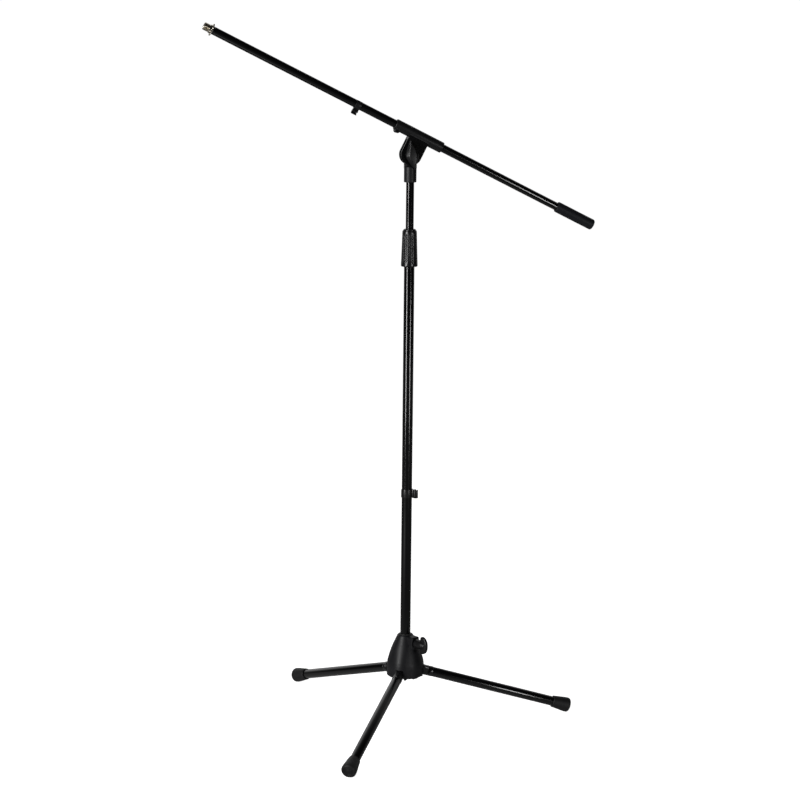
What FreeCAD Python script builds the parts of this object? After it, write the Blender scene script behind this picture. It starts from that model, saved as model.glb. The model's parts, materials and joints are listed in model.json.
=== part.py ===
"""Boom microphone stand: a folding tripod base, a two-stage mast with a twist clutch, and a tilting, sliding boom.

Row frame, millimetres: +Z up, the floor at z = 0, the mast on the Z axis. Leg A points along +X, legs B and C at
120 and 240 degrees. The boom lies in the XZ plane with its microphone end towards -X. One STEP file per piece.
"""
import FreeCAD
import Part
import math
import os

V = FreeCAD.Vector

# ---------------------------------------------------------------- driving dimensions (mm, degrees)
LEG_AZIMUTHS = {"a": 0.0, "b": 120.0, "c": 240.0}
LEG_SLOPE = 17.06            # leg axis below the horizontal
LEG_AXIS_Z0 = 125.4          # height where the leg axes would meet the mast axis
LEG_PIN_R = 30.0             # hinge pin, distance from the mast axis
LEG_END_R = 355.4            # outer end of the foot on the leg axis
LEG_TUBE_R = 10.0
LEG_WALL = 1.2
PIN_R = 2.5
RUN = 0.05                   # radial running clearance
FIT_W = 15.0                 # leg fitting width
FIT_H = 15.0                 # leg fitting height inside the housing
FIT_TALL = 20.0              # and outside it
COLLAR_R = 10.5
FOOT_LEN = 38.2

DROP = 4.2                   # construction heights are measured from 4.2 mm under the floor
BASE_RIM_Z = 105.0
BASE_TOP_Z = 192.5
BASE_WALL = 3.2
BASE_PROFILE = [(35.6, 105.0), (37.5, 106.3), (38.1, 109.0), (38.2, 118.0), (38.2, 125.0), (38.0, 131.0), (37.3, 137.7),
                (35.7, 144.0), (33.9, 150.6), (31.9, 157.0), (29.3, 163.5), (26.6, 170.0), (23.5, 176.0), (20.1, 183.0),
                (16.6, 189.6), (14.4, 192.5)]
BOSS_R = 15.4                # bearing tube inside the housing
SLEEVE_R = 12.4
SLOT_W = 17.0
SLOT_TOP_Z = 124.4
KNOB_AZ = -60.0
KNOB_Z = 178.8
KNOB_BOSS_W = 20.0
KNOB_BOSS_R = 31.0
SCREW_R = 4.0

LOWER_R = 10.5
LOWER_WALL = 1.2
LOWER_Z = (101.0, 1000.0)
UPPER_R = 8.0
UPPER_WALL = 1.2
UPPER_Z = (430.0, 1146.0)
CLUTCH_Z = (954.7, 1026.6, 1029.4)
CLUTCH_R = (16.7, 14.6, 12.5)
CLIP_Z = 490.0
CLIP_H = 17.0
CLIP_AZ = -35.0
HOOK_IN, HOOK_OUT = 3.5, 5.2

SOCKET_Z = (1122.6, 1153.6)
SOCKET_R = 12.5
PIVOT_Z = 1177.3
TONGUE_T = 5.0               # half thickness
PLATE = (6.2, 10.6)          # holder plates, distance from the boom plane
WEB_R = 21.0
SLEEVE_OFF = 40.0            # boom axis above the pivot, square to the boom
HOLDER_R = 11.0
HOLDER_HALF = 51.5
HOLDER_LONG = 54.5           # its microphone end
LINER_R = 8.6
BOOM_ELEV = 26.4
BOOM_R = 8.0
BOOM_WALL = 1.2
BOOM_TIP = 477.0             # from the holder's middle to the tip of the thread
BOOM_TAIL = 405.0            # from the holder's middle to the grip's end
THREAD_R = 7.94              # 5/8 inch thread, major radius
THREAD_LEN = 12.5
FLANGE = (8.8, 3.4)
RING = (12.3, 3.0)
STUD_R = 4.76
GRIP_R = 11.0
GRIP_LEN = 86.0
BOOM_CLIP_S = 138.8
BOOM_CLIP_W = 11.5

os.makedirs("parts", exist_ok=True)
made = []


def save(name, shape):
    """Writes one piece, as closed solids."""
    solids = shape.Solids
    assert solids, name
    for s in solids:
        assert s.isValid() and s.Volume > 0.5, (name, s.isValid(), s.Volume)
    out = solids[0] if len(solids) == 1 else Part.makeCompound(solids)
    out = out.copy()
    out.translate(V(0, 0, -DROP))
    out.exportStep("parts/%s.step" % name)
    made.append((name, len(solids), sum(s.Volume for s in solids)))


def cyl(r, a, b):
    """A cylinder of radius r from point a to point b."""
    a, b = V(*a), V(*b)
    d = b - a
    return Part.makeCylinder(r, d.Length, a, d)


def pipe(ro, ri, a, b):
    return cyl(ro, a, b).cut(cyl(ri, a, b))


def turned(points, axis=V(0, 0, 1)):
    """A solid of revolution about Z from (radius, height) points."""
    pts = [V(r, 0, z) for r, z in points]
    face = Part.Face(Part.makePolygon(pts + [pts[0]]))
    return face.revolve(V(0, 0, 0), axis, 360)


def turned_x(points):
    """A solid of revolution about X from (x, radius) points."""
    pts = [V(x, 0, r) for x, r in points]
    face = Part.Face(Part.makePolygon(pts + [pts[0]]))
    return face.revolve(V(0, 0, 0), V(1, 0, 0), 360)


def plate(points, y0, y1):
    """A flat plate in the XZ plane from (x, z) points, between y0 and y1."""
    pts = [V(x, y0, z) for x, z in points]
    return Part.Face(Part.makePolygon(pts + [pts[0]])).extrude(V(0, y1 - y0, 0))


def box(x0, y0, z0, x1, y1, z1):
    return Part.makeBox(x1 - x0, y1 - y0, z1 - z0, V(x0, y0, z0))


def spun(shape, degrees):
    """A copy turned about the mast axis."""
    c = shape.copy()
    c.rotate(V(0, 0, 0), V(0, 0, 1), degrees)
    return c


def rounded(shape, radius, edges):
    """Fillets the chosen edges, or leaves the shape alone if the fillet can't be made."""
    try:
        out = shape.makeFillet(radius, edges)
        return out if out.isValid() and out.Solids else shape
    except Exception:
        return shape


def hexagon(flats, y0, y1):
    r = flats / 2 / math.cos(math.radians(30))
    return plate([(r * math.cos(math.radians(60 * i)), r * math.sin(math.radians(60 * i))) for i in range(6)], y0, y1)


# ---------------------------------------------------------------- base housing
SLOPE = math.radians(LEG_SLOPE)
PIN_Z = LEG_AXIS_Z0 - LEG_PIN_R * math.tan(SLOPE)

outer = turned([(0, BASE_RIM_Z)] + BASE_PROFILE + [(0, BASE_TOP_Z)])
inner = turned([(0, BASE_RIM_Z - 1)] + [(31.6, BASE_RIM_Z - 1), (33.6, 108.0)]
               + [(r - BASE_WALL, z) for r, z in BASE_PROFILE[3:14]] + [(0, 183.0)])
shell = outer.cut(inner)
knob_boss = box(8, -KNOB_BOSS_W / 2, 164.5, KNOB_BOSS_R, KNOB_BOSS_W / 2, 191.2)
knob_boss = rounded(knob_boss, 2.5, [e for e in knob_boss.Edges if abs(e.CenterOfMass.x - KNOB_BOSS_R) < 0.1
                                     and abs(abs(e.CenterOfMass.y) - KNOB_BOSS_W / 2) < 0.1])
shell = shell.fuse(spun(knob_boss, KNOB_AZ))
shell = shell.fuse(cyl(BOSS_R, (0, 0, 112.0), (0, 0, BASE_TOP_Z - 2)))
for az in (60.0, 180.0, 300.0):
    rib = box(14.0, -1.6, 116.0, 26.0, 1.6, 172.0).common(outer)
    shell = shell.fuse(spun(rib, az))
    column = cyl(4.6, (26.5, 0, BASE_RIM_Z), (26.5, 0, 136.0)).fuse(box(26.5, -3.2, BASE_RIM_Z, 34.6, 3.2, 136.0)).common(outer)
    shell = shell.fuse(spun(column, az))
for az in LEG_AZIMUTHS.values():
    for side in (1, -1):
        y0, y1 = sorted((side * SLOT_W / 2, side * (SLOT_W / 2 + 4.4)))
        cheek = box(22.0, y0, BASE_RIM_Z, 36.5, y1, 127.0).common(outer)
        shell = shell.fuse(spun(cheek, az))
for az in LEG_AZIMUTHS.values():
    slot = box(20.5, -SLOT_W / 2, BASE_RIM_Z - 2, 45, SLOT_W / 2, SLOT_TOP_Z)
    slot = rounded(slot, 3.0, [e for e in slot.Edges if abs(e.CenterOfMass.z - SLOT_TOP_Z) < 0.1
                               and abs(abs(e.CenterOfMass.y) - SLOT_W / 2) < 0.1])
    shell = shell.cut(spun(slot, az))
    shell = shell.cut(spun(cyl(PIN_R, (LEG_PIN_R, -14, PIN_Z), (LEG_PIN_R, 14, PIN_Z)), az))
shell = shell.cut(cyl(SLEEVE_R, (0, 0, 100), (0, 0, 200)))
nut_pocket = Part.makeBox(6.6, 13.2, 17.5, V(21.4, -6.6, KNOB_Z - 7.5))
shell = shell.cut(spun(nut_pocket, KNOB_AZ))
shell = shell.cut(spun(cyl(SCREW_R + 0.4, (8, 0, KNOB_Z), (40, 0, KNOB_Z)), KNOB_AZ))
shell = shell.cut(spun(cyl(5.3, (8, 0, KNOB_Z), (17.2, 0, KNOB_Z)), KNOB_AZ))
for az in (60.0, 180.0, 300.0):
    shell = shell.cut(spun(cyl(1.7, (26.5, 0, 100), (26.5, 0, 122.0)), az))
save("base_body", shell.removeSplitter())

sleeve = turned([(LOWER_R + RUN, 122.0), (SLEEVE_R, 122.0), (SLEEVE_R, BASE_TOP_Z - 2), (13.2, BASE_TOP_Z - 2), (13.2, BASE_TOP_Z + 1), (LOWER_R + RUN, BASE_TOP_Z + 1)])
sleeve = sleeve.cut(shell)
sleeve = sleeve.cut(spun(cyl(5.3, (8, 0, KNOB_Z), (17.2, 0, KNOB_Z)), KNOB_AZ))
save("base_sleeve", max(sleeve.Solids, key=lambda s: s.Volume))

save("clamp_pad", spun(cyl(5.2, (8, 0, KNOB_Z), (14.6, 0, KNOB_Z)), KNOB_AZ).cut(cyl(LOWER_R + RUN, (0, 0, 100), (0, 0, 200))))
nut = hexagon(13.0, 0, 6.4)
nut.rotate(V(0, 0, 0), V(0, 1, 0), 30)        # corners up and down, to suit the pocket
nut.rotate(V(0, 0, 0), V(0, 0, 1), -90)       # its axis along +X
nut.translate(V(21.5, 0, KNOB_Z))
nut = nut.cut(cyl(SCREW_R + RUN, (8, 0, KNOB_Z), (40, 0, KNOB_Z)))
save("clamp_nut", spun(nut, KNOB_AZ))

PLATE_Z = (102.6, 104.8)
retainer = turned([(15.6, PLATE_Z[0]), (20.2, PLATE_Z[0]), (20.2, PLATE_Z[1]), (15.6, PLATE_Z[1])])
for az in (60.0, 180.0, 300.0):
    arm = cyl(6.2, (26.5, 0, PLATE_Z[0]), (26.5, 0, PLATE_Z[1])).fuse(box(17, -6.2, PLATE_Z[0], 26.5, 6.2, PLATE_Z[1]))
    retainer = retainer.fuse(spun(arm, az))
for az in LEG_AZIMUTHS.values():
    for side in (1, -1):
        y0, y1 = sorted((side * (SLOT_W / 2 + 0.2), side * (SLOT_W / 2 + 4.2)))
        retainer = retainer.fuse(spun(box(16.0, y0, PLATE_Z[0], 35.0, y1, PLATE_Z[1]), az))
retainer = retainer.cut(cyl(15.6, (0, 0, 90), (0, 0, 110)))
screws = []
for az in (60.0, 180.0, 300.0):
    screw = turned([(0, PLATE_Z[0]), (3.2, PLATE_Z[0]), (1.7, PLATE_Z[0] + 1.5), (1.7, 119.0), (0, 119.0)]).translated(V(26.5, 0, 0))
    retainer = retainer.cut(spun(screw, az))
    s = screw.cut(box(26.5 - 2.0, -0.4, 102.0, 26.5 + 2.0, 0.4, PLATE_Z[0] + 0.8)).cut(box(26.1, -2.0, 102.0, 26.9, 2.0, PLATE_Z[0] + 0.8))
    screws.append(spun(s, az))
save("hinge_retainer", retainer.removeSplitter())
save("retainer_screws", Part.makeCompound(screws))
pins = [spun(cyl(PIN_R, (LEG_PIN_R, -12.6, PIN_Z), (LEG_PIN_R, 12.6, PIN_Z)), az) for az in LEG_AZIMUTHS.values()]
save("leg_hinge_pins", Part.makeCompound(pins))

# ---------------------------------------------------------------- base knob: a hub with two wings, on a steel screw
hub = turned_x([(32.2, 0), (32.2, 8.0), (36.0, 9.6), (50.0, 8.6), (60.5, 6.4), (62.0, 0)])
hub.translate(V(0, 0, KNOB_Z))
wing_side = [(48.5, 17.2), (51.0, 18.2), (56.5, 17.7), (60.5, 15.4), (63.5, 11.6), (65.4, 6.8), (66.0, 2.2)]
wing_pts = [(x, KNOB_Z + z) for x, z in wing_side] + [(x, KNOB_Z - z) for x, z in reversed(wing_side)]
wing = plate(wing_pts + [(47.4, KNOB_Z - 12.0), (46.0, KNOB_Z), (47.4, KNOB_Z + 12.0)], -3.6, 3.6)
wing.rotate(V(0, 0, KNOB_Z), V(1, 0, 0), -5)
knob = hub.fuse(wing).cut(cyl(SCREW_R, (20, 0, KNOB_Z), (54, 0, KNOB_Z)))
save("base_knob", spun(knob.removeSplitter(), KNOB_AZ))
save("base_knob_screw", spun(cyl(SCREW_R, (15.4, 0, KNOB_Z), (54, 0, KNOB_Z)), KNOB_AZ))

# ---------------------------------------------------------------- legs, built along +X from the pin and then laid down
TUBE_S = (58.0 - LEG_PIN_R) / math.cos(SLOPE)
END_S = (LEG_END_R - LEG_PIN_R) / math.cos(SLOPE)
for name, az in LEG_AZIMUTHS.items():
    def laid(shape):
        c = shape.copy()
        c.rotate(V(0, 0, 0), V(0, 1, 0), LEG_SLOPE)
        c.translate(V(LEG_PIN_R, 0, PIN_Z))
        return spun(c, az)

    block = box(0, -FIT_W / 2, -FIT_H / 2, TUBE_S, FIT_W / 2, FIT_H / 2)
    block = rounded(block, 3.0, [e for e in block.Edges if abs(abs(e.CenterOfMass.y) - FIT_W / 2) < 0.1 and abs(abs(e.CenterOfMass.z) - FIT_H / 2) < 0.1])
    block = block.cut(box(-1, -20, -20, 0.5, 20, 20))
    knuckle = cyl(6.9, (0, -FIT_W / 2, 0), (0, FIT_W / 2, 0))
    fitting = block.fuse(knuckle).fuse(cyl(LEG_TUBE_R - LEG_WALL, (TUBE_S - 2, 0, 0), (TUBE_S + 32, 0, 0)))
    # taller once it is clear of the housing, then the round collar that the tube butts against
    tall = plate([(6.9, FIT_TALL / 2), (TUBE_S - 4.0, FIT_TALL / 2), (TUBE_S - 4.0, -FIT_TALL / 2), (11.2, -FIT_TALL / 2), (9.6, -7.0), (7.8, 7.0)],
                 -FIT_W / 2 + 0.25, FIT_W / 2 - 0.25)
    fitting = fitting.fuse(tall)
    fitting = fitting.fuse(turned_x([(TUBE_S - 9.4, 0), (TUBE_S - 9.4, 9.6), (TUBE_S - 8.4, COLLAR_R), (TUBE_S, COLLAR_R), (TUBE_S, 0)]))
    fitting = fitting.cut(cyl(PIN_R + RUN, (0, -20, 0), (0, 20, 0)))
    save("leg_fitting_" + name, laid(fitting.removeSplitter()))
    tube_end = END_S - 14.0
    save("leg_tube_" + name, laid(pipe(LEG_TUBE_R, LEG_TUBE_R - LEG_WALL, (TUBE_S, 0, 0), (tube_end, 0, 0))))
    f0 = END_S - FOOT_LEN
    rubber = turned_x([(f0, LEG_TUBE_R), (f0, 11.4), (f0 + 0.8, 12.1), (f0 + 2.4, 12.2), (f0 + 8.0, 12.9), (f0 + 16.0, 13.8),
                       (f0 + 24.0, 14.8), (f0 + 30.0, 15.3), (f0 + 33.5, 15.3), (f0 + 36.2, 14.4), (END_S - 0.4, 12.8),
                       (END_S, 11.4), (END_S, 0), (tube_end, 0), (tube_end, LEG_TUBE_R)])
    save("foot_" + name, laid(rubber).cut(box(-420, -420, -20, 420, 420, DROP)))

# ---------------------------------------------------------------- mast
save("lower_tube", pipe(LOWER_R, LOWER_R - LOWER_WALL, (0, 0, LOWER_Z[0]), (0, 0, LOWER_Z[1])))
save("mast_bottom_plug", turned([(0, 98.0), (13.0, 98.0), (14.0, 98.8), (14.0, 101.0), (LOWER_R - LOWER_WALL, 101.0),
                                 (LOWER_R - LOWER_WALL, 122.0), (0, 122.0)]))
collet = turned([(LOWER_R, 958.5), (13.0, 958.5), (13.0, 1015.0), (CLUTCH_R[2], 1015.4), (CLUTCH_R[2], 1028.2), (11.6, 1029.4),
                 (UPPER_R + RUN, 1029.4), (UPPER_R + RUN, 1000.0), (LOWER_R, 1000.0)])
for i in range(4):                      # the slots that let the collet close on the upper tube
    collet = collet.cut(spun(box(6, -0.6, 1004.0, 15, 0.6, 1021.0), 45 + 90 * i))
save("clutch_collet", collet)
save("clutch_grip", turned([(LOWER_R + 0.4, 954.7), (16.1, 954.7), (CLUTCH_R[0], 955.6), (CLUTCH_R[0], 962.0), (15.9, 985.0),
                            (15.1, 1010.0), (CLUTCH_R[1], 1024.8), (13.8, 1026.6), (13.3, 1026.6), (13.3, 958.0), (LOWER_R + 0.4, 958.0)]))


def hook_clip(tube_r, ring_r, reach, width):
    """A snap-on clip about the Z axis: an open ring on the tube and an open hook on its +X side."""
    c = reach - HOOK_OUT
    body = turned([(tube_r + RUN, 0), (ring_r, 0), (ring_r, width), (tube_r + RUN, width)])
    body = body.cut(Part.makeCylinder(40, width + 2, V(0, 0, -1), V(0, 0, 1), 80).rotated(V(0, 0, 0), V(0, 0, 1), 140))
    web = box(tube_r + RUN + 0.2, -2.0, 0, c - HOOK_IN - 0.2, 2.0, width)
    hook = pipe(HOOK_OUT, HOOK_IN, (c, 0, 0), (c, 0, width))
    hook = hook.cut(Part.makeCylinder(20, width + 2, V(0, 0, -1), V(0, 0, 1), 84).rotated(V(0, 0, 0), V(0, 0, 1), 20).translated(V(c, 0, 0)))
    out = body.fuse(web).fuse(hook)
    return out.cut(cyl(tube_r + RUN, (0, 0, -5), (0, 0, width + 5))).cut(cyl(HOOK_IN, (c, 0, -5), (c, 0, width + 5))).removeSplitter()


clip = hook_clip(LOWER_R, 12.2, LOWER_R + 13.7, CLIP_H)
clip.translate(V(0, 0, CLIP_Z - CLIP_H / 2))
save("mast_cable_clip", spun(clip, CLIP_AZ))

save("upper_tube", pipe(UPPER_R, UPPER_R - UPPER_WALL, (0, 0, UPPER_Z[0]), (0, 0, UPPER_Z[1]))
     .cut(cyl(1.6, (0, -20, 1134.0), (0, 20, 1134.0))))
save("guide_bush", pipe(LOWER_R - LOWER_WALL - RUN, UPPER_R + RUN, (0, 0, 433.0), (0, 0, 463.0)))
save("upper_tube_plug", turned([(0, 426.0), (8.8, 426.0), (8.8, 430.0), (UPPER_R - UPPER_WALL, 430.0), (UPPER_R - UPPER_WALL, 446.0), (0, 446.0)]))

# ---------------------------------------------------------------- swivel head with its tongue
socket = turned([(0, SOCKET_Z[0]), (11.9, SOCKET_Z[0]), (SOCKET_R, SOCKET_Z[0] + 0.8), (SOCKET_R, SOCKET_Z[1] - 1.0), (11.6, SOCKET_Z[1]), (0, SOCKET_Z[1])])
tongue = box(-SOCKET_R + 0.4, -TONGUE_T, SOCKET_Z[1] - 6, SOCKET_R - 0.4, TONGUE_T, PIVOT_Z)
tongue = tongue.fuse(cyl(SOCKET_R - 0.4, (0, -TONGUE_T, PIVOT_Z), (0, TONGUE_T, PIVOT_Z)))
head = socket.fuse(tongue)
head = head.cut(cyl(UPPER_R, (0, 0, SOCKET_Z[0] - 1), (0, 0, UPPER_Z[1]))).cut(cyl(SCREW_R + RUN, (0, -20, PIVOT_Z), (0, 20, PIVOT_Z)))
head = head.cut(cyl(1.6, (0, -20, 1134.0), (0, 20, 1134.0)))
save("boom_socket", head.removeSplitter())
save("socket_pin", cyl(1.6, (0, -12.2, 1134.0), (0, 12.2, 1134.0)))

# ---------------------------------------------------------------- boom assembly, built level about the pivot:
# local +X to the microphone end, local +Z from the pivot up to the boom, local +Y to the front (row -Y)
E = math.radians(BOOM_ELEV)
U = V(-math.cos(E), 0, math.sin(E))
N = V(math.sin(E), 0, math.cos(E))
FRAME = FreeCAD.Placement(FreeCAD.Matrix(U.x, 0, N.x, 0, U.y, -1, N.y, 0, U.z, 0, N.z, PIVOT_Z, 0, 0, 0, 1))


def tilted(shape):
    c = shape.copy()
    c.Placement = FRAME.multiply(c.Placement)
    return c


arc = [(WEB_R * math.cos(math.radians(a)), WEB_R * math.sin(math.radians(a))) for a in range(0, -181, -10)]
web = plate(arc + [(-WEB_R, SLEEVE_OFF), (WEB_R, SLEEVE_OFF)], PLATE[0], PLATE[1])
web = cyl(WEB_R, (0, PLATE[0], 0), (0, PLATE[1], 0)).fuse(box(-WEB_R, PLATE[0], 0, WEB_R, PLATE[1], SLEEVE_OFF))
barrel = turned_x([(-HOLDER_HALF, 0), (-HOLDER_HALF, 10.2), (-HOLDER_HALF + 0.8, HOLDER_R), (HOLDER_LONG - 0.8, HOLDER_R), (HOLDER_LONG, 10.2), (HOLDER_LONG, 0)])
barrel.translate(V(0, 0, SLEEVE_OFF))
bridge = box(-WEB_R, 0.2, SLEEVE_OFF - 16.0, WEB_R, PLATE[1], SLEEVE_OFF)
lug = cyl(5.0, (46.8, 0.2, SLEEVE_OFF - 10.2), (46.8, 9.6, SLEEVE_OFF - 10.2))
half = barrel.common(box(-60, 0.2, 0, 60, 20, 70)).fuse(web).fuse(bridge).fuse(lug)
half = half.cut(cyl(LINER_R + RUN, (-60, 0, SLEEVE_OFF), (60, 0, SLEEVE_OFF)))
half = half.cut(cyl(SCREW_R, (0, 0, 0), (0, 20, 0)))
half = half.cut(cyl(1.4, (46.8, -20, SLEEVE_OFF - 10.9), (46.8, 20, SLEEVE_OFF - 10.9)))
half = half.removeSplitter()
rear = half.mirror(V(0, 0, 0), V(0, 1, 0))
screw_head = cyl(2.6, (46.8, 9.6, SLEEVE_OFF - 10.9), (46.8, 11.2, SLEEVE_OFF - 10.9)).cut(box(44, 10.4, SLEEVE_OFF - 11.3, 49.6, 12, SLEEVE_OFF - 10.5))
save("holder_front", tilted(half))
save("holder_rear", tilted(rear))
save("holder_screw", tilted(cyl(1.4, (46.8, -9.0, SLEEVE_OFF - 10.9), (46.8, 9.6, SLEEVE_OFF - 10.9)).fuse(screw_head)))
washers = [pipe(13.5, SCREW_R, (0, s * TONGUE_T, 0), (0, s * PLATE[0], 0)) for s in (1, -1)]
save("friction_washers", tilted(Part.makeCompound(washers)))
bolt = cyl(SCREW_R, (0, -PLATE[1], 0), (0, 24.0, 0)).fuse(hexagon(13.0, -PLATE[1] - 5.3, -PLATE[1]))
save("tilt_bolt", tilted(bolt))

KNOB_Y = (11.2, 27.0)          # knob, from the boom plane to the crest of its wings
insert = hexagon(11.0, 12.0, 23.0).fuse(cyl(5.4, (0, 11.2, 0), (0, 12.0, 0))).cut(cyl(SCREW_R + RUN, (0, 0, 0), (0, 40, 0)))
BLADE_TILT = BOOM_ELEV + 9.5    # about local Y, so that the blade stands 9.5 degrees off the vertical
lens = []
for i in range(21):
    t = math.sin(math.pi / 2 * (-1 + 2 * i / 20.0))
    lens.append((6.6 * max(0.0, 1 - abs(t) ** 2.4) ** 0.62, 28.5 * t))
lens = [(x, z) for x, z in lens] + [(-x, z) for x, z in reversed(lens[1:-1])]
blade = plate(lens, 14.0, KNOB_Y[1])
crown = cyl(31.0, (0, 12.0, 0), (0, 21.0, 0)).fuse(Part.makeCone(31.0, 16.0, 6.0, V(0, 21.0, 0), V(0, 1, 0)))
blade = blade.common(crown)
hub = Part.makeCone(15.2, 15.0, 2.2, V(0, 11.2, 0), V(0, 1, 0)).fuse(Part.makeCone(15.0, 10.4, 9.0, V(0, 13.4, 0), V(0, 1, 0)))
wing = hub.fuse(blade)
wing = wing.cut(hexagon(11.0, 12.0, 23.0)).cut(cyl(5.4, (0, 0, 0), (0, 12.0, 0))).cut(cyl(SCREW_R + 0.3, (0, 0, 0), (0, 24.4, 0)))
wing = wing.removeSplitter()
wing.rotate(V(0, 0, 0), V(0, 1, 0), BLADE_TILT)
insert.rotate(V(0, 0, 0), V(0, 1, 0), BLADE_TILT)
save("wing_knob", tilted(wing))
save("knob_insert", tilted(insert))


def along(s0, s1, ro, ri=0.0):
    a, b = (s0, 0, SLEEVE_OFF), (s1, 0, SLEEVE_OFF)
    return cyl(ro, a, b).cut(cyl(ri, a, b)) if ri else cyl(ro, a, b)


def shifted(shape):
    c = shape.copy()
    c.translate(V(0, 0, SLEEVE_OFF))
    return c


liner = along(-50.0, 50.0, LINER_R, BOOM_R + RUN).cut(box(-60, -0.5, SLEEVE_OFF, 60, 0.5, SLEEVE_OFF + 20))
save("boom_liner", tilted(liner))
TUBE_TIP = BOOM_TIP - THREAD_LEN - FLANGE[1] - RING[1] - 0.6
save("boom_tube", tilted(along(-BOOM_TAIL + 76.0, TUBE_TIP, BOOM_R, BOOM_R - BOOM_WALL)))
bclip = hook_clip(BOOM_R, 10.0, BOOM_R + 12.7, BOOM_CLIP_W)
bclip.rotate(V(0, 0, 0), V(0, 1, 0), 90)        # width along +X, hook towards local -Z
bclip.translate(V(BOOM_CLIP_S - BOOM_CLIP_W / 2, 0, 0))
save("boom_cable_clip", tilted(shifted(bclip)))

grip = turned_x([(-BOOM_TAIL, 0), (-BOOM_TAIL, 8.4), (-BOOM_TAIL + 2.6, GRIP_R), (-BOOM_TAIL + GRIP_LEN - 1.0, GRIP_R), (-BOOM_TAIL + GRIP_LEN, 10.0), (-BOOM_TAIL + GRIP_LEN, 0)])
grip = shifted(grip).cut(along(-BOOM_TAIL + 3.0, 0, BOOM_R))
save("grip_cover", tilted(grip))
slug = along(-BOOM_TAIL + 3.0, -BOOM_TAIL + 76.0, BOOM_R).fuse(along(-BOOM_TAIL + 76.0, -BOOM_TAIL + 104.0, BOOM_R - BOOM_WALL))
save("counterweight", tilted(slug))
end = along(TUBE_TIP - 26.0, TUBE_TIP, BOOM_R - BOOM_WALL).fuse(along(TUBE_TIP, TUBE_TIP + 0.6, BOOM_R)).fuse(along(TUBE_TIP, BOOM_TIP - 4.0, STUD_R))
save("thread_insert", tilted(end))
r0 = TUBE_TIP + 0.7
save("lock_ring", tilted(along(r0, r0 + RING[1] - 0.2, RING[0], STUD_R + RUN)))
f0 = BOOM_TIP - THREAD_LEN - FLANGE[1]
adapter = turned_x([(f0, 0), (f0, FLANGE[0] - 0.5), (f0 + 0.5, FLANGE[0]), (f0 + FLANGE[1] - 0.5, FLANGE[0]), (f0 + FLANGE[1], FLANGE[0] - 0.5),
                    (f0 + FLANGE[1], THREAD_R), (BOOM_TIP, THREAD_R), (BOOM_TIP, 0)])
save("thread_adapter", tilted(shifted(adapter).cut(along(f0 - 1, BOOM_TIP + 1, STUD_R + RUN))))

for m in made:
    print("%-20s solids %d  volume %.1f mm3" % m)
print(len(made), "nodes")
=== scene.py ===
import bpy, bmesh, json, math
from mathutils import Matrix, Vector


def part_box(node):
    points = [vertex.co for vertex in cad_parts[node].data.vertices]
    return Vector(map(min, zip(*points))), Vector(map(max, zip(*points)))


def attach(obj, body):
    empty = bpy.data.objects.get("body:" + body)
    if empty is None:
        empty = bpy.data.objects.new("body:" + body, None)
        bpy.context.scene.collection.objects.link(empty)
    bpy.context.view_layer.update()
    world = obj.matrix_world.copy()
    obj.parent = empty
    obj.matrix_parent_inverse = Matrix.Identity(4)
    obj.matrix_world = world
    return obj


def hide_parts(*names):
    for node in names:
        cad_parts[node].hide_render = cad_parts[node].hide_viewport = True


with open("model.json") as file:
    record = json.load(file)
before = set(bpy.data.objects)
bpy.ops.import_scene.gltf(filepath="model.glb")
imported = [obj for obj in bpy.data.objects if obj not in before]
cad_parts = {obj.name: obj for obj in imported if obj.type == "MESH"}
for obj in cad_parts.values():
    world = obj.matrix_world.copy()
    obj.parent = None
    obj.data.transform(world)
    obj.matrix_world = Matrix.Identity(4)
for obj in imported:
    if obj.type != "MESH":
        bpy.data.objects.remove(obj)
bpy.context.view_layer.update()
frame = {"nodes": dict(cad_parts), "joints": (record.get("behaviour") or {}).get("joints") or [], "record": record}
J = {j["name"]: j for j in frame["joints"]}
MM = 0.001
TAU = 2 * math.pi

# ------------------------------------------------------------------------------------------------ frames of reference


def basis(origin, x, z):
    """A matrix that puts local +X along x and local +Z along z, at origin (metres)."""
    x, z = Vector(x).normalized(), Vector(z).normalized()
    y = z.cross(x)
    m = Matrix((x, y, z)).transposed().to_4x4()
    m.translation = Vector(origin)
    return m


UP = Vector((0, 0, 1))
PIVOT = Vector(J["boom_tilt"]["pos_m"])
BOOM_O = Vector(J["boom_roll"]["pos_m"])
BOOM_U = Vector(J["boom_roll"]["axis"]).normalized()
BOOM_N = (BOOM_O - PIVOT).normalized()
M_BOOM = basis(BOOM_O, BOOM_U, BOOM_N)          # along the boom, local +Y to the front
M_HOLD = basis(PIVOT, BOOM_U, BOOM_N)
M_AXIS = basis(BOOM_O, BOOM_N.cross(BOOM_U), BOOM_U)   # local +Z along the boom, for turned pieces
M_MAST = Matrix.Identity(4)
OFF = (BOOM_O - PIVOT).length / MM
DROP = 1177.3 - PIVOT.z / MM    # heights written out below are this much too high, mm
FIXED = ("base_body", "hinge_retainer", "base_sleeve", "base_knob", "clutch_grip", "clutch_collet", "boom_socket")


def spin(deg):
    return Matrix.Rotation(math.radians(deg), 4, "Z")


# ------------------------------------------------------------------------------------------------ mesh helpers (mm in, metres out)


def new_object(name, bm_or_mesh, matrix=None):
    if isinstance(bm_or_mesh, bpy.types.Mesh):
        me = bm_or_mesh
    else:
        me = bpy.data.meshes.new(name)
        bm_or_mesh.to_mesh(me)
        bm_or_mesh.free()
    ob = bpy.data.objects.new(name, me)
    bpy.context.scene.collection.objects.link(ob)
    if matrix is not None:
        me.transform(matrix)
    return ob


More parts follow.
